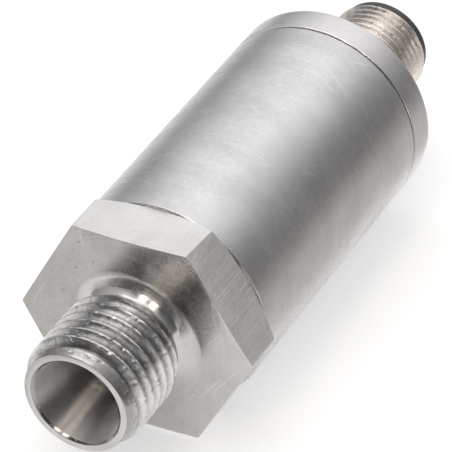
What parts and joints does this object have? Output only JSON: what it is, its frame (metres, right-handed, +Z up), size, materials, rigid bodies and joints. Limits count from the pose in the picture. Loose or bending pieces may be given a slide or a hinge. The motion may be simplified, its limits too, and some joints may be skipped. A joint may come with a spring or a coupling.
{
  "type": "pressure sensor",
  "caption": "Stainless steel pressure sensor with a hexagon, a threaded cone stud for a tube fitting and a round threaded plug connector.",
  "frame": {"origin": "under the middle of the sensor's length, on the line that the round housing lies on", "axes": "+Y along the sensor's axis from the stud to the connector, +Z up through one flat of the hexagon, +X to the right of +Y seen from above"},
  "size_m": [0.0278, 0.0746, 0.0248],
  "materials": {
    "connection_steel": "bright turned and milled stainless steel with fine tool marks",
    "housing_steel": "stainless steel brushed round the axis",
    "cap_steel": "stainless steel turned smooth",
    "nickel_plate": "satin nickel plating over brass",
    "black_plastic": "moulded black plastic",
    "gold_contact": "gold plated contact",
    "seal_rubber": "black rubber",
    "cell_steel": "fine ground stainless steel",
    "gauge_silicon": "polished silicon chip",
    "carrier_plastic": "glass filled moulded plastic",
    "board_laminate": "green printed circuit laminate",
    "chip_black": "moulded chip package",
    "capacitor_ceramic": "sintered ceramic",
    "wire_brown": "brown insulation",
    "wire_white": "white insulation",
    "wire_blue": "blue insulation",
    "wire_black": "black insulation"
  },
  "bodies": {
    "root": {"process_connection": "connection_steel", "housing_tube": "housing_steel", "end_cap": "cap_steel", "connector_shell": "nickel_plate", "connector_lock_ring": "nickel_plate", "connector_insert": "black_plastic", "connector_o_ring": "seal_rubber", "cap_o_ring": "seal_rubber", "tube_o_ring": "seal_rubber", "measuring_cell": "cell_steel", "gauge_bridge": "gauge_silicon", "cell_spacer": "carrier_plastic", "board_carrier": "carrier_plastic", "cell_board": "board_laminate", "circuit_board": "board_laminate", "amplifier_chip": "chip_black", "capacitor_1": "capacitor_ceramic", "capacitor_2": "capacitor_ceramic", "contact_pin_1": "gold_contact", "header_pin_1": "gold_contact", "connector_wire_1": "wire_brown", "contact_pin_2": "gold_contact", "header_pin_2": "gold_contact", "connector_wire_2": "wire_white", "contact_pin_3": "gold_contact", "header_pin_3": "gold_contact", "connector_wire_3": "wire_blue", "contact_pin_4": "gold_contact", "header_pin_4": "gold_contact", "connector_wire_4": "wire_black"}
  },
  "joints": []
}
